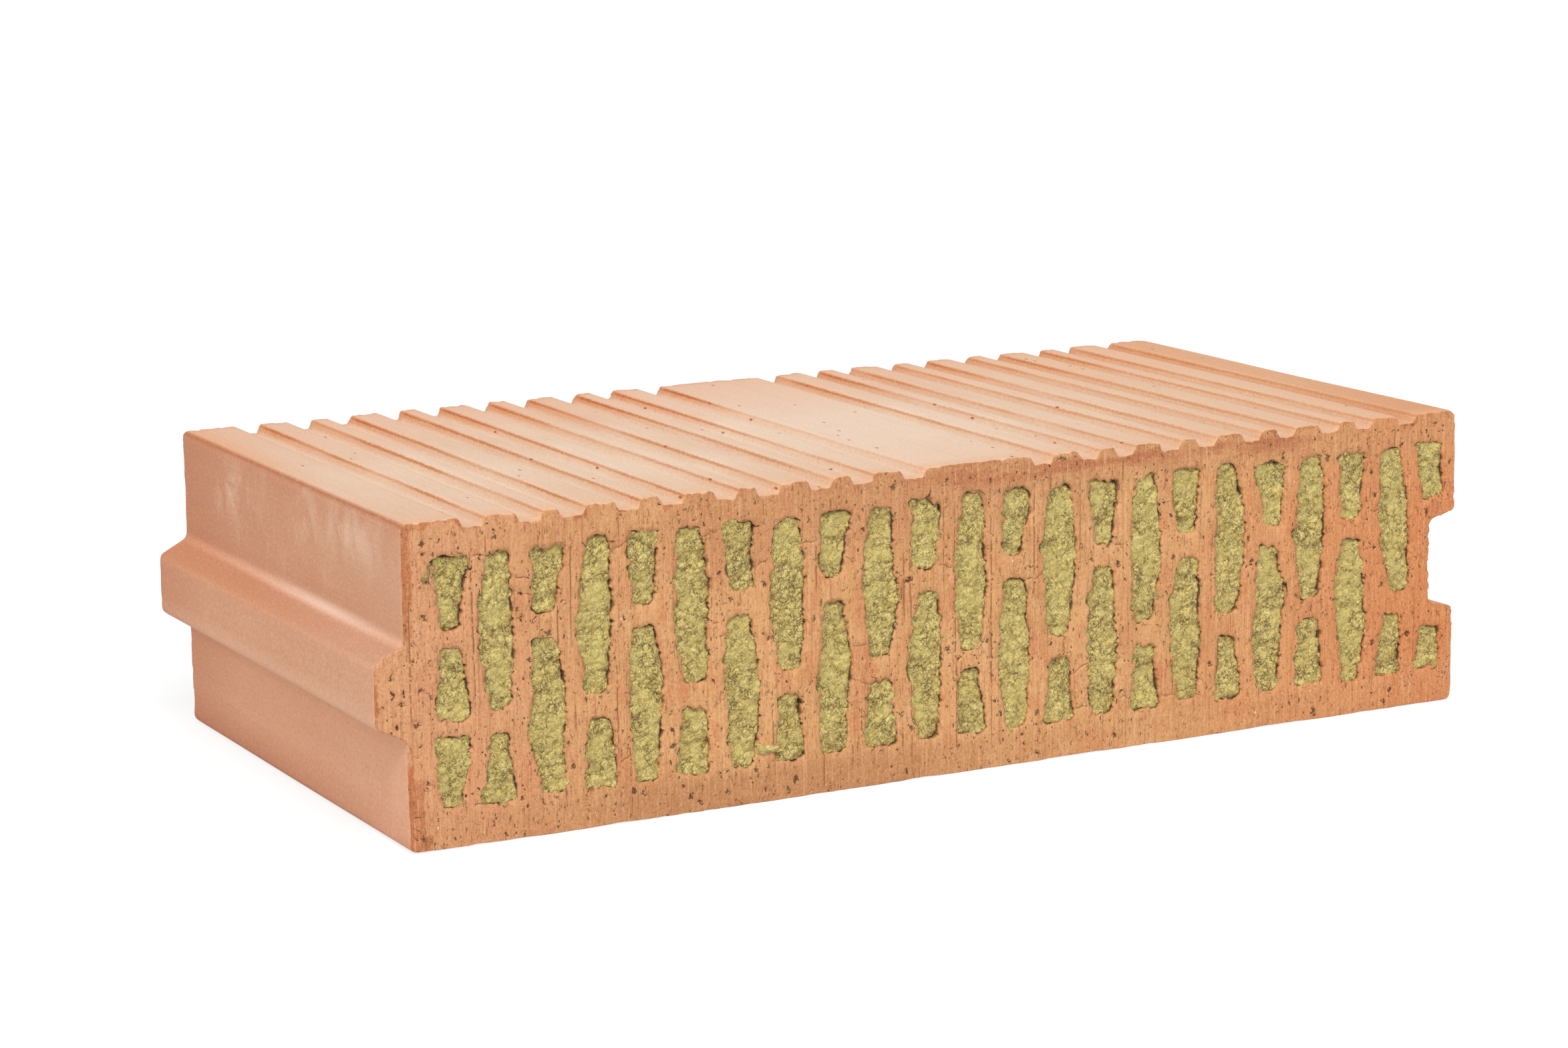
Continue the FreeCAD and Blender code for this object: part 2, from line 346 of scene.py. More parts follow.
def tears(area, tree, count, rng):
    """Torn pits in the cut face, mostly short upright dashes: points with (depth, dark, olive, scratch)."""
    low, high = area[0].min(0), area[0].max(0)
    tries = rng.uniform(low, high, (count * 8, 2))
    tries = tries[clear_clay(tries, area)]
    room = gap_to(tries, tree)
    placed = []
    for across, down, reach in CHIP_PIXELS:
        nudge = CHIP_NUDGES.get((across, down), (0, 0))
        placed.append((np.round(on_cut_face(across, down) + nudge, 1), reach, True))
    for place, free in zip(tries, room):
        gouge = len(placed) < count // 9
        size = rng.uniform(0.9, 2.3) if gouge else rng.uniform(0.5, 0.9) + 0.35 * rng.exponential()
        if free > 0.35 + 0.6 * size and all(math.dist(place, p) > size + r + 0.3 for p, r, _ in placed):
            placed.append((place, size, gouge))
        if len(placed) == count:
            break
    points, values = [], []
    for place, size, gouge in placed:
        lean = rng.normal(0, 0.5 if gouge else 0.25)
        slim = rng.uniform(0.35, 0.75) if gouge else rng.uniform(0.25, 0.5)
        deep = rng.uniform(0.5, 1.1) if gouge else rng.uniform(0.3, 0.6)
        olive = rng.choice([0.0, 0.9], p=[0.45, 0.55]) if gouge else rng.choice([0.0, 0.6], p=[0.75, 0.25])
        strength = rng.uniform(0.75, 1.0)
        spot, value = [], []
        for share, number, drop, dark in GOUGE_RINGS if gouge else DASH_RINGS:
            turned = rng.uniform(0, 1) if number > 2 else math.pi / 2
            angle = np.linspace(0, 2 * math.pi, number, endpoint=False) + turned
            radius = size * share * rng.uniform(0.45, 1.3, number)
            across, along = radius * slim * np.cos(angle), radius * np.sin(angle)
            c, s = math.cos(lean), math.sin(lean)
            spot.append(place + np.c_[across * c + along * s, along * c - across * s])
            value.append(np.tile((drop * deep, dark * strength, olive, 0), (number, 1)))
        spot = np.vstack(spot)
        if gap_to(spot, tree).min() > 0.3:
            points.append(spot)
            values.append(np.vstack(value))
    points, values = np.vstack(points), np.vstack(values)
    fine = clear_clay(points, area)
    return points[fine], values[fine]


def furrow(path, width, deep, dark):
    """A narrow groove along a path: its middle and both its edges, with (depth, dark, olive, scratch)."""
    heading = np.gradient(path, axis=0)
    heading /= np.linalg.norm(heading, axis=1)[:, None]
    side = np.c_[-heading[:, 1], heading[:, 0]] * width
    flat = np.zeros(len(path))
    edge = np.c_[flat, flat, flat, 0.1 * dark]
    return np.vstack([path, path + side, path - side]), np.vstack([np.c_[deep, flat, flat, dark], edge, edge])


def drag_lines(area, count, rng):
    """Upright scratches that grit under the cutting wire left in the face."""
    low, high = area[0].min(0), area[0].max(0)
    spans = []
    for across, upper, lower in SCRATCH_PIXELS:
        ends = np.array([on_cut_face(across, lower), on_cut_face(across, upper)])
        spans.append((round(ends[:, 0].mean()), *np.round(ends[:, 1]), 0.9))
    spans += [(*span, 0.9) for span in MORE_SCRATCHES]
    for _ in range(count):
        bottom = rng.uniform(low[1], high[1] - 12)
        top = min(bottom + 8 + 60 * rng.random() ** 2, high[1] - 1)
        spans.append((rng.uniform(low[0] + 14, high[0] - 2), bottom, top, rng.uniform(0.4, 0.75)))
    lines = []
    for x, bottom, top, dark in spans:
        z = np.arange(bottom, top, 1.5)
        path = np.c_[x + 0.5 * noise(z / 30, x, 9) + 0.12 * noise(z / 5, x, 10), z]
        fade = np.sin(math.pi * (z - bottom + 0.5) / (top - bottom + 1)) ** 0.4
        deep = rng.uniform(0.2, 0.42) * fade * (0.75 + 0.5 * noise(z / 6, x, 11))
        lines.append(furrow(path, 0.4, deep, dark * fade))
    return lines


def cracks(area, count, rng):
    """Drying cracks that run across the webs from cell to cell."""
    lines = []
    trees = [tree_of(ring) for ring in area]
    while len(lines) < count:
        a, b = rng.choice(np.arange(1, len(area)), 2, replace=False)
        start = area[a][rng.integers(len(area[a]))]
        end = np.array(trees[b].find((*start, 0))[0])[:2]
        reach = math.dist(start, end)
        if not 5 < reach < 15 or abs(end[1] - start[1]) > 0.6 * abs(end[0] - start[0]):
            continue
        t = np.linspace(0.04, rng.uniform(0.55, 0.96), max(5, int(reach / 0.9)))
        across = np.array([start[1] - end[1], end[0] - start[0]]) / reach
        wander = 0.9 * noise(t * reach / 3.2, a, 71) * np.sin(math.pi * t) + 0.3 * noise(t * reach, b, 72)
        path = start + (end - start) * t[:, None] + across * wander[:, None]
        lines.append(furrow(path, 0.25, np.full(len(t), 0.4), np.full(len(t), rng.uniform(0.4, 0.8))))
    return lines


def cut_face(area, spacing, torn, lines, cracked, seed):
    """Points, (depth, dark, olive, scratch) and triangles of one cut face; the rings' points come first."""
    rng = np.random.default_rng(seed)
    ring_points = np.vstack(area)
    tree = tree_of(ring_points)
    free, values = [], []
    grid = hex_grid(area[0].min(0), area[0].max(0), spacing, rng)
    grid = grid[clear_clay(grid, area)]
    grid = grid[gap_to(grid, tree) > 0.62 * spacing]
    if torn:
        points, value = tears(area, tree, torn, rng)
        free.append(points)
        values.append(value)
        torn_tree = tree_of(points)
        for points, value in cracks(area, cracked, rng) + drag_lines(area, lines, rng):
            fine = clear_clay(points, area)
            fine[fine] = gap_to(points[fine], tree) > 0.4
            fine[fine] = gap_to(points[fine], torn_tree) > 0.75
            if len(free) > 1:
                fine[fine] = gap_to(points[fine], tree_of(np.vstack(free[1:]))) > 0.3
            if fine.any():
                free.append(points[fine])
                values.append(value[fine])
        grid = grid[gap_to(grid, tree_of(np.vstack(free))) > 0.62]
    free.append(grid)
    values.append(np.zeros((len(grid), 4)))
    points, faces = triangulated(area, np.vstack(free))
    values = np.vstack([np.zeros((len(ring_points), 4))] + values)
    values[:, 0] += clay_relief(points[:, 0], points[:, 1], seed)
    return points, values, faces


def clay_mesh(loops):
    """Vertices (mm), faces, their materials and each vertex's marks, for the whole clay body."""
    rng = np.random.default_rng(12)
    outer, cells = loops[0], loops[1:]
    front = -DEPTH / 2
    rings = []
    for index, cell in enumerate(cells):
        normal = outward(cell)
        s = travelled(cell)
        torn, torn_back = ragged(cell, index, rng), ragged(cell, index + 100, rng)
        wall = 0.15 * noise(s / 5, index, 21)
        levels = []
        for y, share, rim in (
            (0, 1.0, torn), (0.7, 0.78, torn), (2.0, 0.34, torn), (5.0, 0.05, torn),
            (DEPTH - 3.0, 0.1, torn_back), (DEPTH - 0.9, 0.7, torn_back), (DEPTH, 1.0, torn_back),
        ):
            place = cell + normal * (rim * share + wall * (1 - share))[:, None]
            levels.append((place, np.full(len(cell), front + y)))
        rings.append(levels)
    normal = outward(outer)
    s = travelled(outer)
    levels = []
    chips = 0.4 * np.clip(noise(s / 5, 1, 31), 0, 1) + 0.9 * np.clip(noise(s / 11, 2, 32) - 0.45, 0, 1)
    nicks = 0.6 * np.clip(noise(s / 1.5, 7, 45), 0, 1) + 1.1 * np.clip(noise(s / 3.6, 8, 46) - 0.2, 0, 1)
    chips = chips + 1.8 * nicks * (outer[:, 1] > COMB_FOOT)
    # the cutting wire dragged the tongue end's arris over
    dragged = 1 + np.clip(-2 * normal[:, 0] - 0.6, 0, 1) * (outer[:, 0] < END + 8) * (
        1.6 + 1.2 * noise(s / 9, 3, 36) + 0.7 * noise(s / 3, 4, 37))
    torn = 0.45 * noise(s / 3.2, 5, 38) + 0.4 * noise(s / 1.7, 6, 39) + rng.normal(0, 0.22, len(outer))
    torn = torn * np.clip((outer[:, 0] - 222) / 6, 0, 1) * (np.abs(outer[:, 1] - 64) < 30)
    near_edge = [(0, 0.55, 1.0), (0.3, 0.2, 0.8), (1.1, 0.05, 0.45), (4, 0, 0)]
    between = [(y, 0, 0) for y in np.linspace(14, DEPTH - 14, 19)]
    far_edge = [(DEPTH - 4, 0, 0), (DEPTH - 1.1, 0.05, 0.3), (DEPTH - 0.3, 0.2, 0.7), (DEPTH, 0.55, 1.0)]
    for y, inset, chip in near_edge + between + far_edge:
        wave = 0.22 * noise(s / 34, y / 110, 33) + 0.08 * noise(s / 7, y / 140, 34)
        wave = wave + 0.04 * noise(s / 2.6, y / 60, 35)
        edge = inset * (dragged if y < 4 else 1) + chip * chips
        tear = torn * np.exp(-min(y, DEPTH - y) / 3.0)
        levels.append((outer + normal * (wave - 0.12 - edge + tear)[:, None], np.full(len(outer), front + y)))
    rings.insert(0, levels)

    faces, kinds, free, values = [], [], [], []
    starts = np.cumsum([0] + [len(place) for levels in rings for place, _ in levels])
    count = starts[-1]
    starts = np.split(starts[:-1], np.cumsum([len(levels) for levels in rings])[:-1])
    for last, spacing, torn, lines, cracked, seed in CUT_FACES:
        area = [levels[last][0] for levels in rings]
        sign = 1 if last == 0 else -1
        points, value, triangles = cut_face(area, spacing, torn, lines, cracked, seed)
        begin = 0
        numbers = []
        for k, (place, y) in enumerate(levels[last] for levels in rings):
            lip = 0.22 + 0.2 * noise(travelled(place) / 1.8, k, 44)
            y[:] = sign * (front + value[begin:begin + len(place), 0] + lip)
            numbers.append(starts[k][last] + np.arange(len(place)))
            begin += len(place)
        numbers = np.concatenate(numbers + [count + np.arange(len(points) - begin)])
        free.append(np.c_[points[begin:, 0], sign * (front + value[begin:, 0]), points[begin:, 1]])
        values.append(value[begin:, 1:])
        count += len(points) - begin
        faces += numbers[triangles if last == 0 else triangles[:, ::-1]].tolist()
        kinds += [CUT] * len(triangles)
    for index, levels in enumerate(rings):
        size = len(levels[0][0])
        i = np.arange(size)
        j = np.roll(i, -1)
        for level, (a, b) in enumerate(zip(starts[index], starts[index][1:])):
            quads = np.c_[a + i, b + i, b + j, a + j] if index == 0 else np.c_[a + i, a + j, b + j, b + i]
            faces += quads.tolist()
            rim = index > 0 or level < 2 or level >= len(levels) - 2
            kinds += [CUT if rim else SKIN] * size
    sides = np.vstack([np.c_[place[:, 0], y, place[:, 1]] for levels in rings for place, y in levels])
    vertices = np.vstack([sides] + free)
    vertices[:, 2] = np.maximum(vertices[:, 2], 0)
    dark, olive, scratch = np.vstack([np.zeros((len(sides), 3))] + values).T
    lean, rim = np.zeros(len(vertices)), np.zeros(len(vertices))
    skin = len(rings[0]) * len(outer)
    lean[:skin] = np.tile(normal[:, 0], len(rings[0]))
    # the cells' walls get a rim mark, which the cut material turns into painted shade, weaker near the faces
    rim[skin:len(sides)] = np.where(np.abs(sides[skin:, 1]) > DEPTH / 2 - 1.2, 0.55, 1.3)
    marks = {"dark": dark, "olive": olive, "scratch": scratch, "rim": rim} | skin_marks(vertices, lean, outer)
    return vertices, faces, np.array(kinds, np.int32), marks


def skin_marks(vertices, lean, outer):
    """Where the skin is combed, where dust, dragged clay and bare edges lie, and where the valley floors get
    painted light, as shares from 0 to 1.
    """
    x, y, z = vertices.T
    at_end = np.abs(x) > -END - 1.7
    combed = np.clip((z - COMB_TOP + np.where(at_end, 1.2, 5.2)) / 0.8, 0, 1)
    flank = combed * np.clip(np.where(lean < 0, -1.6 * lean - 0.2, 0.15 * lean), 0, 1)
    # the arris that the wire dragged over is broad above and below the tongue
    front = y < -DEPTH / 2 + 1.8
    band = 3.6 + 1.2 * noise(z / 8, 1, 81) + 0.8 * noise(z / 2.5, 2, 82) + 3 * np.clip((31 - z) / 4, 0, 1)
    band = band - 3.4 * ((z > 36) & (z < 84))
    arris = np.zeros(len(vertices))
    outline = tree_of(outer)
    off_edge = gap_to(vertices[front][:, [0, 2]], outline)
    arris[front] = np.clip((band[front] - off_edge) / 0.8, 0, 0.8) * (x[front] < END + 10)
    edge = front & (z > COMB_FOOT)
    close = gap_to(vertices[edge][:, [0, 2]], outline) < 0.9
    arris[edge] = np.maximum(arris[edge], close * (0.5 + 0.4 * noise(x[edge] / 5, z[edge] / 5, 83)))
    brow = 0.9 * np.clip(1.5 - np.hypot(x - END - 0.7, z - COMB_TOP + 0.9) / 1.1, 0, 1)
    # valley floors, painted lighter to offset the shade in them
    valley_light = combed * np.clip((COMB_TOP - 2.4 - z) / 0.6, 0, 1) * (1 - np.clip(-3 * lean, 0, 1))
    tongue = x < END + 4
    root = np.exp(-((x - END + 1) ** 2 + (z - 83.5) ** 2) / 5) * np.exp(-(((y + 45) / 58) ** 2))
    tip = np.exp(-((x - LOW[0] - 0.7) ** 2 + (z - 76) ** 2) / 9) * np.exp(-(((y - 20) / 75) ** 2))
    dust = np.zeros(len(vertices))
    for middle, height, wide, tall in (
        (62, 113, 24, 12), (-18, 116, 9, 14), (-70, 117, 34, 11), (-95, 20, 30, 14),
    ):
        dust = dust + np.exp(-(((y - middle) / wide) ** 2) - ((z - height) / tall) ** 2)
    return {
        "combed": combed, "flank": flank, "valley_light": valley_light, "arris": arris, "brow": brow,
        "root": 0.75 * tongue * root, "tip": 0.6 * tongue * tip, "dust": 0.9 * tongue * np.clip(dust, 0, 1),
    }


# The wool


def wool_surface(x, z, seed):
    """How far the wool lies behind the cut face, and how high each point stands on its flock, from 0 to 1."""
    u = x + 0.8 * noise(x / 2.3, z / 2.3, seed + 1) + 0.4 * noise(x / 0.9, z / 0.9, seed + 2)
    v = z + 0.8 * noise(x / 2.3, z / 2.3, seed + 3) + 0.4 * noise(x / 0.9, z / 0.9, seed + 4)
    big = flocks(u / 7.0, v / 7.0, seed + 10)
    middle = flocks(u / 3.0, v / 3.0, seed + 20)
    small = flocks(u / 1.4, v / 1.4, seed + 30)
    height = 1.5 * big + 0.9 * middle + 0.5 * small
    slump = 0.6 * noise(x / 15, z / 15, seed + 40)
    return 2.9 + slump - height, np.clip(0.35 * big + 0.45 * middle + 0.3 * small, 0, 1)


def wool_plug_mesh(cell, seed):
    """Vertices (mm), faces, flock heights, painted shade near the rim and dark painted shade in its gaps, for
    the wool in one cell.
    """
    rng = np.random.default_rng(seed)
    edge = resampled(cell, 1.0)
    s = travelled(edge)
    normal = outward(edge)
    gap = 0.1 + 1.2 * noise(s / 5, seed, 51) + 0.5 * noise(s / 1.6, seed, 52)
    gap = gap + 0.8 * np.clip(normal[:, 0], 0, 1)
    spill = np.clip(1.6 * noise(s / 4, seed, 53) + 0.8 * noise(s / 1.5, seed, 54) - 0.55, 0, 1)
    edge = edge + (0.35 + 0.9 * spill)[:, None] * normal
    tree = tree_of(edge)
    vertices, lumps, brims, notches, faces = [], [], [], [], []
    count = 0
    rims = []
    gone = np.clip(2.4 * noise(s / 4.5, seed, 55) + 1.2 * noise(s / 1.7, seed, 56), 0, 1)
    gone = gone * np.clip(1.6 * normal[:, 0] + 0.3 + 0.3 * np.abs(normal[:, 1]), 0, 1)
    gap = gap + 1.2 * gone
    for side, spacing in ((-1, 0.62), (1, 1.5)):
        grid = hex_grid(edge.min(0), edge.max(0), spacing, rng)
        grid = grid[inside(grid, edge)]
        grid = grid[gap_to(grid, tree) > 0.5 * spacing]
        points, triangles = triangulated([edge], grid)
        deep, lump = wool_surface(points[:, 0], points[:, 1], seed + (0 if side < 0 else 500))
        deep = np.maximum(deep, 0.1) + 1.2 * gone[nearest(points, tree)] * np.exp(-gap_to(points, tree))
        deep[:len(edge)] += np.clip(gap, 0.0, 2.4)
        if side < 0:
            deep[:len(edge)] = deep[:len(edge)] * (1 - spill) - 0.35 * spill
        y = side * (DEPTH / 2 - deep)
        vertices.append(np.c_[points[:, 0], y, points[:, 1]])
        lumps.append(lump)
        # painted shade beside the rim, strongest on the left and upper edges
        shade = np.clip(0.2 - 0.8 * normal[:, 0] + 0.35 * normal[:, 1], 0, 1)[nearest(points, tree)]
        brims.append(shade * np.exp(-gap_to(points, tree) / 1.6))
        # dark painted shade where the wool has pulled away from the rim, mostly on the right
        notch = gone[nearest(points, tree)] * np.clip(1.6 - gap_to(points, tree) / 0.9, 0, 1)
        notches.append(0.95 * notch)
        triangles = triangles + count
        faces += (triangles if side < 0 else triangles[:, ::-1]).tolist()
        rims.append(count + np.arange(len(edge)))
        count += len(points)
    a, b = rims
    faces += np.c_[a, np.roll(a, -1), np.roll(b, -1), b][:, ::-1].tolist()
    return np.vstack(vertices), faces, *(np.concatenate(v) for v in (lumps, brims, notches))


def wisp_mesh(start, end, width, seed):
    """Vertices (mm), faces and flock heights of a shred of wool that lies across a web on the cut face."""
    rng = np.random.default_rng(seed)
    along = np.array(end, float) - start
    length = np.linalg.norm(along)
    along /= length
    across = np.array([-along[1], along[0]])
    turn = np.linspace(0, 2 * math.pi, 60, endpoint=False)
    reach = 1 + 0.3 * noise(turn * 3, seed, 91)
    half = 0.5 * width * np.sign(np.sin(turn)) * np.abs(np.sin(turn)) ** 0.6 * (0.8 - 0.3 * np.cos(turn))
    middle = (np.array(start) + end) / 2
    edge = middle + np.outer(0.5 * length * np.cos(turn) * reach, along) + np.outer(half * reach, across)
    grid = hex_grid(edge.min(0), edge.max(0), 0.5, rng)
    grid = grid[inside(grid, edge)]
    grid = grid[gap_to(grid, tree_of(edge)) > 0.25]
    points, triangles = triangulated([edge], grid)
    dome = np.clip(gap_to(points, tree_of(edge)) / (0.4 * width), 0, 1) ** 0.5
    deep, lump = wool_surface(points[:, 0], points[:, 1], seed)
    proud = dome * (0.9 + 0.35 * (2.9 - deep))
    proud[:len(edge)] = -0.4
    front = np.c_[points[:, 0], -DEPTH / 2 - proud, points[:, 1]]
    back = np.c_[edge[:, 0], np.full(len(edge), -DEPTH / 2 + 0.8), edge[:, 1]]
    ring = np.arange(len(edge))
    under = ring + len(points)
    faces = triangles.tolist() + [under[::-1].tolist()]
    faces += np.c_[ring, under, np.roll(under, -1), np.roll(ring, -1)].tolist()
    lump = np.clip(0.6 + 0.4 * lump, 0, 1)
    return np.vstack([front, back]), faces, np.concatenate([lump, lump[ring]])


# Objects


def add_piece(name, vertices, faces, materials, kinds=None, **values):
    """A mesh object from millimetres, with a float attribute for each of the values, riding on the block."""
    mesh = bpy.data.meshes.new(name)
    mesh.from_pydata((vertices * MM).tolist(), [], faces)
    for material in materials:
        mesh.materials.append(material)
    if kinds is not None:
        mesh.polygons.foreach_set("material_index", kinds)
    for key, value in values.items():
        mesh.attributes.new(key, "FLOAT", "POINT").data.foreach_set("value", value.astype(np.float32))
    mesh.polygons.foreach_set("use_smooth", np.ones(len(faces), bool))
    mesh.update()
    piece = bpy.data.objects.new(name, mesh)
    bpy.context.scene.collection.objects.link(piece)
    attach(piece, "root")
    return piece


# Materials


def linear(red, green, blue):
    """A screen colour (0 to 255) as the linear colour that shaders take."""
    shares = [c / 255 for c in (red, green, blue)]
    return tuple(((c + 0.055) / 1.055) ** 2.4 if c > 0.04 else c / 12.92 for c in shares) + (1,)


class Nodes:
    """Short forms for building one material's node tree."""

    def __init__(self, name):
        self.material = bpy.data.materials.new(name)
        self.material.use_nodes = True
        self.tree = self.material.node_tree
        self.shader = self.tree.nodes["Principled BSDF"]
        self.place = self.add("ShaderNodeTexCoord").outputs["Object"]

    def put(self, socket, value):
        """Links the socket to another one, or sets it to a value."""
        if isinstance(value, bpy.types.NodeSocket):
            self.tree.links.new(value, socket)
        else:
            socket.default_value = value

    def add(self, kind, sockets=None, **settings):
        """A new node with the given settings and sockets."""
        node = self.tree.nodes.new(kind)
        for key, value in settings.items():
            setattr(node, key, value)
        for key, value in (sockets or {}).items():
            self.put(node.inputs[key], value)
        return node

    def stretched(self, x, y, z):
        """Object coordinates in units of the given sizes in millimetres."""
        scale = (1000 / x, 1000 / y, 1000 / z)
        return self.add("ShaderNodeMapping", {"Vector": self.place, "Scale": scale}).outputs["Vector"]

    def slanted(self, x, y, z, turn):
        """Like stretched, with the sizes along axes turned about Y by some degrees."""
        scale = (x * MM, y * MM, z * MM)
        sockets = {"Vector": self.place, "Scale": scale, "Rotation": (0, math.radians(turn), 0)}
        return self.add("ShaderNodeMapping", sockets, vector_type="TEXTURE").outputs["Vector"]

    def noise(self, place, detail=3.0, roughness=0.55, distortion=0.0):
        """Noise at the given coordinates, or with features of the three given sizes in millimetres."""
        vector = self.stretched(*place) if isinstance(place, tuple) else place
        sockets = {"Vector": vector, "Scale": 1.0, "Detail": detail}
        sockets |= {"Roughness": roughness, "Distortion": distortion}
        return self.add("ShaderNodeTexNoise", sockets).outputs["Fac"]

    def first(self, colour):
        """The first channel of a colour."""
        return self.add("ShaderNodeSeparateColor", {0: colour}).outputs[0]

    def dots(self, x, y, z):
        """Distance to the nearest of points scattered at the given sizes, and a number for each point."""
        node = self.add("ShaderNodeTexVoronoi", {"Vector": self.stretched(x, y, z), "Scale": 1.0})
        return node.outputs["Distance"], self.first(node.outputs["Color"])

    def clumps(self, size, wobble):
        """Lumps of about a size in millimetres: distance to the nearest border, and a number for each."""
        evenly = self.stretched(size, size, size)
        swirl = self.add("ShaderNodeTexNoise", {"Vector": evenly, "Scale": 1.6}).outputs["Color"]
        sockets = {0: swirl, 1: (wobble, wobble, wobble), 2: evenly}
        moved = self.add("ShaderNodeVectorMath", sockets, operation="MULTIPLY_ADD").outputs[0]
        cells = {"Vector": moved, "Scale": 1.0}
        border = self.add("ShaderNodeTexVoronoi", cells, feature="DISTANCE_TO_EDGE")
        inner = self.add("ShaderNodeTexVoronoi", cells)
        return border.outputs["Distance"], self.first(inner.outputs["Color"])

    def ramp(self, value, low, high, start=0.0, end=1.0):
        """The value brought from the range low to high into the range start to end."""
        sockets = {"Value": value, "From Min": low, "From Max": high, "To Min": start, "To Max": end}
        return self.add("ShaderNodeMapRange", sockets, clamp=True).outputs["Result"]

    def math(self, operation, a, b):
        return self.add("ShaderNodeMath", {0: a, 1: b}, operation=operation).outputs[0]

    def times(self, a, b):
        return self.math("MULTIPLY", a, b)

    def mix(self, factor, a, b):
        return self.add("ShaderNodeMix", {0: factor, 6: a, 7: b}, data_type="RGBA").outputs[2]

    def tint(self, colour, factor, *screen):
        """The colour, drawn by the factor towards a screen colour."""
        return self.mix(factor, colour, linear(*screen))

    def fade(self, colour, value, low, high, most, *screen):
        """The colour, tinted by up to the most as the value goes from low to high."""
        return self.tint(colour, self.ramp(value, low, high, 0, most), *screen)

    def attribute(self, name):
        return self.add("ShaderNodeAttribute", attribute_name=name).outputs["Fac"]

    def along(self, axis):
        """One object coordinate in millimetres."""
        return self.times(self.add("ShaderNodeSeparateXYZ", {0: self.place}).outputs[axis], 1000.0)

    def bump(self, height, strength, distance, normal=None):
        sockets = {"Height": height, "Strength": strength, "Distance": distance * MM}
        if normal is not None:
            sockets["Normal"] = normal
        return self.add("ShaderNodeBump", sockets).outputs["Normal"]

    def finish(self, colour, roughness, normal):
        for key, value in (("Base Color", colour), ("Roughness", roughness), ("Normal", normal)):
            self.put(self.shader.inputs[key], value)
        return self.material


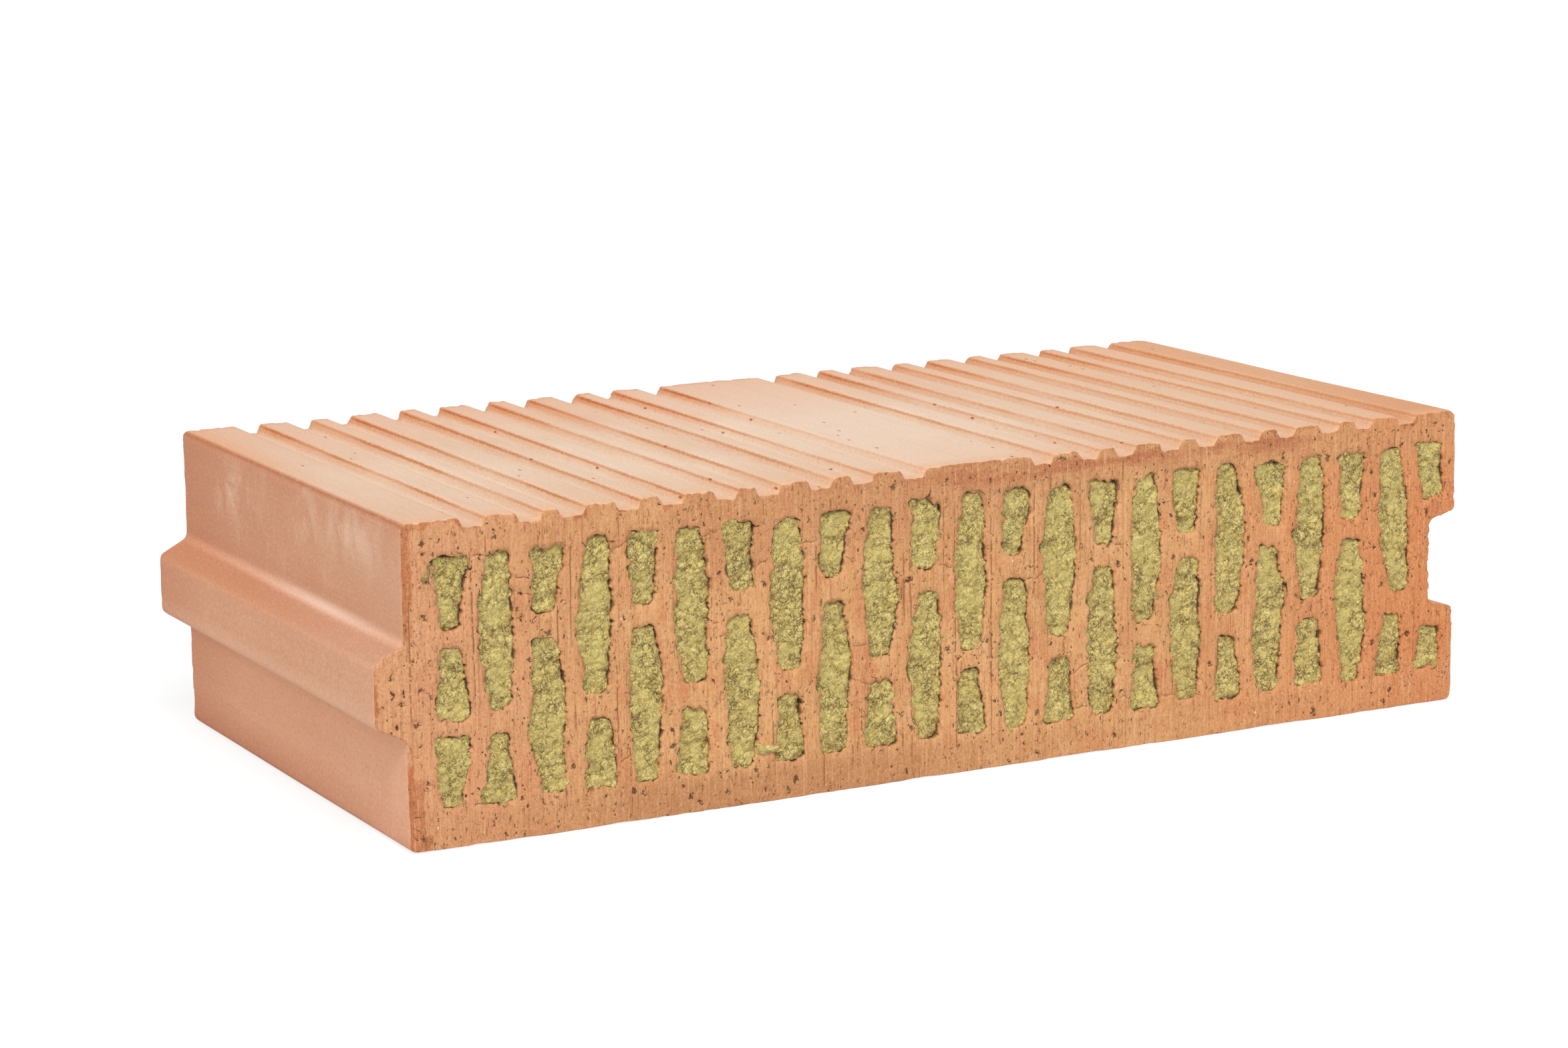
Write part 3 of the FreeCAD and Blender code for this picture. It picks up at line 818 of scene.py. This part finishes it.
def cut_clay():
    """The rough cut face: orange tan, mottled, with grit, pits and scratches."""
    n = Nodes("clay_cut")
    cloud = n.noise((34, 34, 34), 4)
    colour = n.mix(n.ramp(cloud, 0.32, 0.68), linear(206, 148, 95), linear(222, 167, 112))
    patch = n.noise((11, 30, 20), 4)
    colour = n.fade(colour, patch, 0.52, 0.68, 0.75, 206, 130, 86)
    colour = n.fade(colour, patch, 0.46, 0.34, 0.5, 226, 174, 124)
    x, z = n.along(0), n.along(2)
    colour = n.fade(colour, x, -150, -235, 0.75, 213, 149, 108)
    colour = n.fade(colour, x, 90, 235, 0.85, 213, 133, 82)
    red = n.times(n.ramp(x, 140, 235, 0, 0.5), n.times(n.ramp(z, 104, 84), n.ramp(z, 14, 28)))
    colour = n.tint(colour, red, 208, 122, 68)
    # dusty under the comb, browner along the plain shell
    drift = n.ramp(n.noise((95, 95, 60), 2), 0.38, 0.6, 0.2, 1.0)
    dusty = n.times(n.ramp(z, 108, 117), n.ramp(x, -60, 40, 0.3, 0.75))
    colour = n.tint(colour, n.times(dusty, drift), 203, 149, 101)
    shell = n.times(n.ramp(x, 40, -40, 0.2, 1.0), n.ramp(x, -210, -150, 0.3, 1.0))
    colour = n.tint(colour, n.times(n.ramp(z, 19, 11, 0, 0.85), shell), 186, 130, 85)
    crown = n.times(n.ramp(z, 88, 108), n.times(n.ramp(x, -165, -120), n.ramp(x, 60, 0)))
    colour = n.tint(colour, n.times(crown, 0.6), 193, 130, 88)
    smear = n.noise((2.2, 2.2, 5.0), 4, 0.65)
    under = n.times(n.ramp(z, 118, 122.5), n.ramp(z, 128.5, 126))
    under = n.times(under, n.times(n.ramp(x, -40, 10), n.ramp(x, 185, 155)))
    rubbed = n.noise((22, 22, 5), 3, 0.6)
    colour = n.tint(colour, n.times(under, n.ramp(rubbed, 0.36, 0.56, 0.2, 0.9)), 178, 104, 66)
    bruise = n.math("ADD", n.attribute("arris"), n.ramp(smear, 0.3, 0.7, -0.55, 0.35))
    colour = n.fade(colour, bruise, 0.1, 0.7, 0.95, 184, 106, 62)
    streak = n.noise((1.3, 30, 34), 4, 0.6)
    colour = n.fade(colour, streak, 0.54, 0.66, 0.55, 178, 114, 72)
    colour = n.fade(colour, streak, 0.44, 0.34, 0.42, 232, 180, 132)
    dash = n.noise((0.9, 30, 4.5), 2, 0.5)
    colour = n.fade(colour, dash, 0.64, 0.68, 0.6, 136, 88, 54)
    cluster = n.noise((26, 60, 30), 2)
    scrap = n.noise((1.7, 30, 2.8), 3, 0.6, 1.2)
    torn = n.times(n.ramp(scrap, 0.63, 0.66), n.ramp(cluster, 0.45, 0.6))
    colour = n.tint(colour, n.times(torn, 0.8), 108, 84, 50)
    grain = n.noise((0.8, 0.8, 0.95), 3, 0.75)
    colour = n.tint(colour, n.ramp(grain, 0.30, 0.48, 0.45, 0.0), 148, 94, 58)
    colour = n.fade(colour, grain, 0.52, 0.68, 0.36, 242, 196, 146)
    hair = n.noise((0.45, 20, 5.5), 3, 0.65)
    colour = n.tint(colour, n.ramp(hair, 0.34, 0.5, 0.2, 0.0), 158, 100, 62)
    colour = n.fade(colour, hair, 0.5, 0.66, 0.15, 236, 184, 136)
    # short curled tears
    curl = n.math("ABSOLUTE", n.math("SUBTRACT", n.noise((3.6, 30, 4.4), 2, 0.5, 0.8), 0.5), 0.0)
    spot = n.noise((2.6, 60, 3.4), 1)
    tear = n.times(n.ramp(curl, 0.028, 0.014), n.ramp(spot, 0.59, 0.64))
    tear = n.times(tear, n.ramp(cluster, 0.38, 0.54, 0.3, 1.0))
    colour = n.tint(colour, tear, 76, 54, 32)
    gap, tint = n.dots(3.2, 3.2, 5.0)
    speck = n.times(n.ramp(gap, 0.14, 0.10), n.ramp(tint, 0.66, 0.68))
    colour = n.tint(colour, n.times(speck, n.ramp(cluster, 0.36, 0.54, 0.35, 0.8)), 92, 62, 36)
    chalk = n.times(n.ramp(gap, 0.13, 0.08), n.ramp(tint, 0.035, 0.03))
    colour = n.tint(colour, n.times(chalk, 0.8), 244, 222, 200)
    fray = n.noise((0.9, 0.9, 0.9), 3, 0.6)
    # the pits' insides: painted shade, drawn towards olive where wool is left in them
    hollow = n.mix(n.attribute("olive"), linear(92, 60, 36), linear(112, 100, 56))
    dark = n.math("ADD", n.attribute("dark"), n.ramp(fray, 0.2, 0.8, -0.3, 0.3))
    colour = n.mix(n.ramp(dark, 0.3, 0.5, 0, 0.88), colour, hollow)
    colour = n.tint(colour, n.ramp(n.attribute("scratch"), 0.1, 0.5, 0, 0.75), 136, 84, 50)
    # painted shade on the walls inside the cells
    rim = n.math("ADD", n.attribute("rim"), n.ramp(fray, 0.2, 0.8, -0.5, 0.5))
    colour = n.fade(colour, rim, 0.95, 1.1, 0.68, 92, 63, 34)
    rough = n.noise((0.7, 0.7, 0.9), 4, 0.6)
    normal = n.bump(streak, 0.5, 0.6)
    normal = n.bump(grain, 0.4, 0.6, normal)
    normal = n.bump(rough, 0.4, 0.3, normal)
    normal = n.bump(n.ramp(gap, 0.08, 0.2), 0.3, 0.3, normal)
    return n.finish(colour, 0.92, normal)


def skin_clay():
    """The drawn skin: dusty salmon ends, and a pale combed face with an orange line along each shoulder."""
    n = Nodes("clay_skin")
    x, y = n.along(0), n.along(1)
    cloud = n.noise((60, 90, 60), 4)
    side = n.mix(n.ramp(cloud, 0.35, 0.65), linear(204, 145, 110), linear(210, 152, 117))
    side = n.fade(side, y, 10, 115, 0.8, 196, 134, 101)
    side = n.fade(side, y, -20, -115, 0.5, 214, 162, 131)
    z = n.along(2)
    side = n.fade(side, z, 112, 127, 0.5, 201, 136, 97)
    bloom = n.noise((22, 17, 26), 5, 0.62, 0.6)
    side = n.tint(side, n.times(n.attribute("dust"), n.ramp(bloom, 0.4, 0.6, 0.05, 1.0)), 229, 190, 162)
    side = n.fade(side, bloom, 0.58, 0.76, 0.35, 222, 178, 150)
    side = n.fade(side, z, 86, 84, 0.35, 224, 168, 134)
    # painted light below the tongue, lifting the shade it casts
    side = n.fade(side, z, 45, 38, 0.6, 226, 167, 131)
    lip = n.times(n.ramp(z, 47, 51), n.ramp(z, 60, 53))
    side = n.tint(side, n.times(lip, 0.5), 228, 182, 152)
    # painted shade on the tongue's upward-facing slope, against the light from above
    slope = n.times(n.ramp(z, 75, 77), n.times(n.ramp(z, 86, 83), n.ramp(x, END - 1, END - 3)))
    slope_shade = n.mix(n.ramp(y, 30, -90), linear(184, 122, 86), linear(192, 140, 110))
    side = n.mix(n.times(slope, 0.85), side, slope_shade)
    side = n.fade(side, y, 60, 120, 0.5, 194, 124, 84)
    foot = n.times(n.ramp(z, 18, 4, 0, 0.7), n.ramp(y, -110, 40, 0.25, 1.0))
    side = n.tint(side, foot, 190, 122, 86)
    side = n.tint(side, n.attribute("root"), 236, 206, 184)
    ripple = n.noise((1.6, 110, 1.6), 3)
    side = n.tint(side, n.times(n.attribute("tip"), n.ramp(ripple, 0.35, 0.6, 0.3, 1.0)), 205, 136, 92)
    face = n.mix(n.ramp(cloud, 0.35, 0.65), linear(221, 188, 160), linear(228, 202, 177))
    strip = n.times(n.ramp(x, -50, -15), n.ramp(x, 55, 20))
    face = n.tint(face, n.times(strip, 0.6), 231, 205, 183)
    face = n.fade(face, y, 10, 110, 0.7, 223, 176, 145)
    face = n.fade(face, y, -60, -122, 0.5, 223, 180, 147)
    face = n.fade(face, x, 60, 225, 0.8, 221, 177, 142)
    face = n.fade(face, x, 218, 232, 0.6, 212, 152, 106)
    corner = n.times(n.ramp(x, 205, 240), n.ramp(y, 0, -115, 0.1, 0.8))
    face = n.tint(face, corner, 210, 146, 100)
    face = n.fade(face, x, -190, -245, 0.5, 219, 174, 143)
    margin = n.times(n.ramp(x, END + 14, END + 3), n.ramp(y, -30, 70, 0.1, 0.8))
    face = n.tint(face, margin, 222, 163, 122)
    stain = n.noise((16, 50, 16), 4)
    face = n.fade(face, stain, 0.6, 0.78, 0.4, 222, 170, 132)
    # bare clay in a thin line along each comb shoulder, over the whole flank towards the back
    wander = n.noise((3, 70, 3), 3)
    speckle = n.noise((1.2, 1.6, 1.2), 2)
    height = n.math("ADD", n.along(2), n.ramp(wander, 0.25, 0.75, -0.2 - COMB_TOP, 0.2 - COMB_TOP))
    height = n.math("ADD", height, n.ramp(speckle, 0.3, 0.7, -0.25, 0.25))
    faint = n.noise((14, 90, 14), 2)
    flank = n.times(n.attribute("flank"), n.ramp(faint, 0.36, 0.56, 0.45, 1.0))
    flank = n.times(flank, n.math("MAXIMUM", n.ramp(y, 20, 100, 0.6, 1.0), n.ramp(x, -60, -160, 0.6, 0.8)))
    flank = n.times(flank, n.ramp(x, 20, 90, 1.0, 0.78))
    shoulder = n.math("ABSOLUTE", n.math("ADD", x, 19.0), 0.0)
    flank = n.times(flank, n.math("MAXIMUM", n.ramp(shoulder, 3, 5), n.ramp(y, 20, 90, 0.35, 1.0)))
    # painted light on the valley floors towards the back, against their shade
    face = n.tint(face, n.times(n.attribute("valley_light"), n.ramp(y, -122, -90, 0, 0.25)), 240, 212, 186)
    face = n.fade(face, y, -112, -121, 0.5, 222, 172, 132)
    glow = n.times(n.ramp(height, -2.6, -1.2), n.ramp(height, 0.0, -0.7, 0.1, 0.7))
    face = n.tint(face, n.times(flank, glow), 226, 168, 98)
    bare = n.times(n.ramp(y, 20, 124, 0, 0.9), n.ramp(height, -3.6, -2.4))
    face = n.tint(face, n.times(flank, bare), 212, 142, 90)
    line = n.times(n.ramp(height, -1.8, -1.2), n.ramp(height, -0.3, -0.75))
    face = n.tint(face, n.times(flank, n.times(line, 0.95)), 178, 92, 42)
    face = n.fade(face, y, 116, 124, 0.7, 216, 150, 108)
    colour = n.mix(n.attribute("combed"), side, face)
    colour = n.tint(colour, n.attribute("brow"), 166, 96, 56)
    streak = n.noise((1.4, 60, 1.4), 4)
    colour = n.fade(colour, streak, 0.52, 0.75, 0.15, 196, 128, 90)
    grain = n.noise((1.1, 1.3, 1.1), 4, 0.75)
    colour = n.tint(colour, n.ramp(grain, 0.28, 0.48, 0.45, 0.0), 184, 122, 88)
    colour = n.fade(colour, grain, 0.52, 0.72, 0.35, 240, 210, 188)
    gap, tint = n.dots(6, 16, 6)
    speck = n.times(n.ramp(gap, 0.11, 0.07), n.ramp(tint, 0.6, 0.62))
    colour = n.tint(colour, n.times(speck, n.ramp(n.attribute("combed"), 0, 1, 0.05, 0.9)), 172, 72, 26)
    normal = n.bump(streak, 0.2, 0.4)
    normal = n.bump(grain, 0.35, 0.3, normal)
    return n.finish(colour, 0.88, normal)


def wool():
    """Loose olive yellow wool: pale flocks and fibres, painted light and shade on the flocks and fibres, and
    painted shade in thin clefts and beside the rims.
    """
    n = Nodes("mineral_wool")
    wide, tone = n.clumps(4.6, 1.4)
    fine, tint = n.clumps(2.0, 1.4)
    sheet, calm = n.clumps(8.5, 0.9)
    smooth = n.times(n.ramp(calm, 0.6, 0.66), n.ramp(sheet, 0.03, 0.14))
    rough = n.ramp(smooth, 0, 1, 1.0, 0.35)
    # painted shade in the hollows and painted light on the tops of the flocks
    colour = n.mix(n.ramp(n.attribute("lump"), 0.12, 0.6), linear(198, 168, 88), linear(234, 209, 124))
    # lighter and darker clumps: painted light and shade on flakes facing different ways
    colour = n.fade(colour, tone, 0.5, 1.0, 0.7, 232, 213, 136)
    colour = n.fade(colour, tone, 0.4, 0.0, 0.5, 168, 143, 72)
    colour = n.fade(colour, tint, 0.5, 1.0, 0.45, 236, 218, 138)
    colour = n.fade(colour, tint, 0.4, 0.0, 0.4, 156, 132, 66)
    colour = n.tint(colour, n.times(smooth, 0.65), 218, 199, 122)
    # painted shade beside the rims
    colour = n.tint(colour, n.times(n.attribute("brim"), 0.48), 130, 106, 50)
    # clefts between the clumps painted dark as shade
    opened = n.noise((6, 6, 6), 3)
    split = n.times(n.ramp(wide, 0.11, 0.05), n.ramp(opened, 0.42, 0.58, 0.3, 0.8))
    colour = n.tint(colour, n.times(split, rough), 86, 61, 25)
    crack = n.times(n.ramp(fine, 0.10, 0.04), n.ramp(opened, 0.4, 0.6, 0.35, 0.6))
    colour = n.tint(colour, n.times(crack, rough), 110, 82, 35)
    for turn, long in ((38, 4.4), (-24, 3.6), (75, 3.0)):
        fibre = n.noise(n.slanted(0.42, 0.5, long, turn), 2, 0.6, 0.5)
        shadow = n.times(n.ramp(fibre, 0.61, 0.66), 0.6)
        colour = n.tint(colour, n.times(shadow, rough), 110, 83, 35)
        shine = n.times(n.ramp(fibre, 0.41, 0.35), 0.6)
        colour = n.tint(colour, n.times(shine, rough), 248, 232, 154)
    tuft = n.noise((0.6, 0.6, 0.6), 3, 0.7, 0.4)
    colour = n.tint(colour, n.ramp(tuft, 0.34, 0.46, 0.4, 0), 134, 106, 48)
    colour = n.fade(colour, tuft, 0.54, 0.66, 0.5, 244, 228, 150)
    # painted shade in the gaps between the wool and the rim
    colour = n.tint(colour, n.attribute("notch"), 70, 50, 26)
    normal = n.bump(n.ramp(wide, 0.0, 0.3), 0.5, 1.0)
    normal = n.bump(tuft, 0.7, 1.0, normal)
    return n.finish(colour, 0.95, normal)


# The object

outside, *cells = cut_loops(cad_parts["clay_block"])
cells = [flexed(eased(resampled(loop, 0.6), 2 + 3 * (k % 5))) for k, loop in enumerate(cells)]
outer = resampled(outside, 1.15)
outer = np.where(outer[:, 1:] > COMB_FOOT, outer, eased(outer, 1))
outlines = [outer] + [resampled(loop, 1.1) for loop in cells]
vertices, faces, kinds, marks = clay_mesh(outlines)
clay = add_piece("clay_block_body", vertices, faces, [cut_clay(), skin_clay()], kinds, **marks)
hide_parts("clay_block")

wool_material = wool()
plugs = {name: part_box(name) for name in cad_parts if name.startswith("wool_plug")}
for index, (name, (low, high)) in enumerate(sorted(plugs.items())):
    middle = np.array([(low[0] + high[0]) / 2, (low[2] + high[2]) / 2]) / MM
    cell = min(cells, key=lambda loop: np.linalg.norm((loop.min(0) + loop.max(0)) / 2 - middle))
    points, faces, lump, brim, notch = wool_plug_mesh(cell, 1000 * index + 7)
    filling = name.replace("plug", "fill")
    piece = add_piece(filling, points, faces, [wool_material], lump=lump, brim=brim, notch=notch)
    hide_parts(name)

for name, start, end, width, dim in WISPS:
    points, faces, lump = wisp_mesh(start, end, width, int(width * 10))
    shade = np.full(len(points), dim)
    piece = add_piece(name, points, faces, [wool_material], lump=lump, brim=shade, notch=0.4 * shade)

# Studio


def soft_sun(name, towards, strength, spread):
    lamp = bpy.data.lights.new(name, "SUN")
    lamp.energy = strength
    lamp.angle = math.radians(spread)
    light = bpy.data.objects.new(name, lamp)
    light.rotation_euler = (-Vector(towards)).to_track_quat("-Z", "Y").to_euler()
    bpy.context.scene.collection.objects.link(light)


soft_sun("key", (-0.15, -0.63, 0.76), 1.9, 24)
soft_sun("fill", (-1.0, -0.15, 0.06), 1.05, 110)


def shader_mix(tree, factor, a, b):
    node = tree.nodes.new("ShaderNodeMixShader")
    if isinstance(factor, bpy.types.NodeSocket):
        tree.links.new(factor, node.inputs[0])
    else:
        node.inputs[0].default_value = factor
    tree.links.new(a, node.inputs[1])
    tree.links.new(b, node.inputs[2])
    return node.outputs[0]


def plain_shader(tree, kind, grey, strength=None):
    node = tree.nodes.new(kind)
    node.inputs["Color"].default_value = (grey, grey, grey, 1)
    if strength is not None:
        node.inputs["Strength"].default_value = strength
    return node.outputs[0]


world = bpy.data.worlds.new("studio")
world.use_nodes = True
tree = world.node_tree
tree.nodes.remove(tree.nodes["Background"])
seen = tree.nodes.new("ShaderNodeLightPath").outputs["Is Camera Ray"]
sky = shader_mix(tree, seen, plain_shader(tree, "ShaderNodeBackground", 1.0, 0.58),
                 plain_shader(tree, "ShaderNodeBackground", 1.0, 1.0))
tree.links.new(sky, tree.nodes["World Output"].inputs["Surface"])
bpy.context.scene.world = world

floor_mesh = bpy.data.meshes.new("floor")
floor_mesh.from_pydata([(-8, -8, 0), (8, -8, 0), (8, 8, 0), (-8, 8, 0)], [], [(0, 1, 2, 3)])
floor = bpy.data.objects.new("floor", floor_mesh)
bpy.context.scene.collection.objects.link(floor)
paper = bpy.data.materials.new("floor")
paper.use_nodes = True
tree = paper.node_tree
tree.nodes.remove(tree.nodes["Principled BSDF"])
seen = tree.nodes.new("ShaderNodeLightPath").outputs["Is Camera Ray"]
white = plain_shader(tree, "ShaderNodeEmission", 1.0, 1.05)
lit = shader_mix(tree, 0.75, plain_shader(tree, "ShaderNodeBsdfDiffuse", 0.95), white)
ground = shader_mix(tree, seen, plain_shader(tree, "ShaderNodeBsdfDiffuse", 0.72), lit)
tree.links.new(ground, tree.nodes["Material Output"].inputs["Surface"])
floor_mesh.materials.append(paper)

# Camera

camera = bpy.data.objects.new("camera", bpy.data.cameras.new("camera"))
camera.data.sensor_fit = "HORIZONTAL"
camera.data.sensor_width = SENSOR
camera.data.lens = LENS
turn = Matrix((RIGHT, -DOWN, -FORWARD)).transposed().to_4x4()
camera.matrix_world = Matrix.Translation(Vector(EYE * MM)) @ turn
camera.data.clip_start = 0.05
camera.data.clip_end = 50
bpy.context.scene.collection.objects.link(camera)
bpy.context.scene.camera = camera
bpy.context.scene.view_settings.view_transform = "Standard"

bpy.context.view_layer.update()
